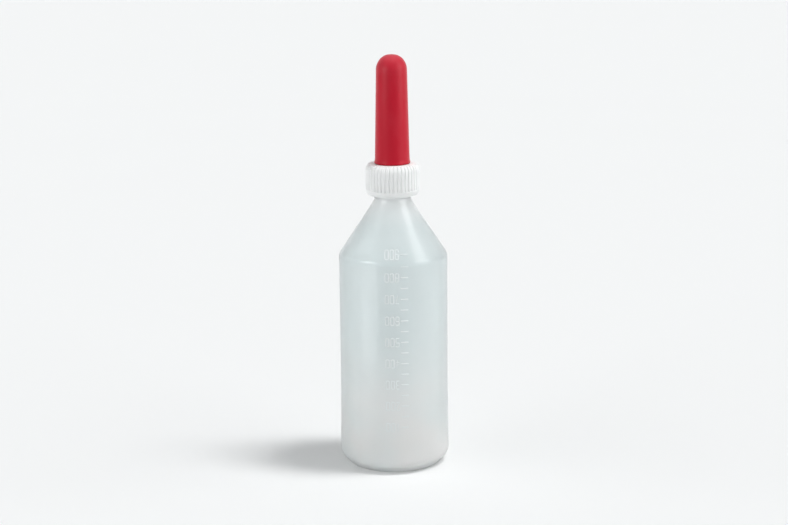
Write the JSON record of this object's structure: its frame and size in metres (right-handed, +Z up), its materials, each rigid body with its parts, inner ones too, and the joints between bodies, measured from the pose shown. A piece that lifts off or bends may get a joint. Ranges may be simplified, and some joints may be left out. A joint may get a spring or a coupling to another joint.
{
  "type": "teat feeding bottle",
  "caption": "Translucent plastic bottle with a conical shoulder, a moulded volume scale, a ribbed screw ring and a long red rubber teat, for bottle-feeding young livestock.",
  "frame": {"origin": "centre of the foot, in the plane that the bottle stands on", "axes": "+Z up the axis of the bottle, ring and teat; -Y is the front, where the moulded scale is"},
  "size_m": [0.0898, 0.0898, 0.3365],
  "materials": {
    "natural_plastic": "milky, translucent natural polyethylene with a soft sheen",
    "white_plastic": "white moulded plastic, satin",
    "red_rubber": "dull red rubber with a soft sheen"
  },
  "bodies": {
    "bottle": {"bottle": "natural_plastic"},
    "teat": {"teat": "red_rubber"},
    "screw_ring": {"screw_ring": "white_plastic"}
  },
  "joints": [
    {"name": "teat_lift", "type": "slide", "parent": "bottle", "child": "teat", "axis": [0, 0, 1], "range_m": [0, 0.008]},
    {"name": "ring_turn", "type": "hinge", "parent": "teat", "child": "screw_ring", "pos_m": [0, 0, 0.2365], "axis": [0, 0, 1], "range_deg": [0, 720]}
  ],
  "couplings": [
    {"joint": "teat_lift", "follows": "ring_turn", "m_per_rad": 0.00063662}
  ]
}
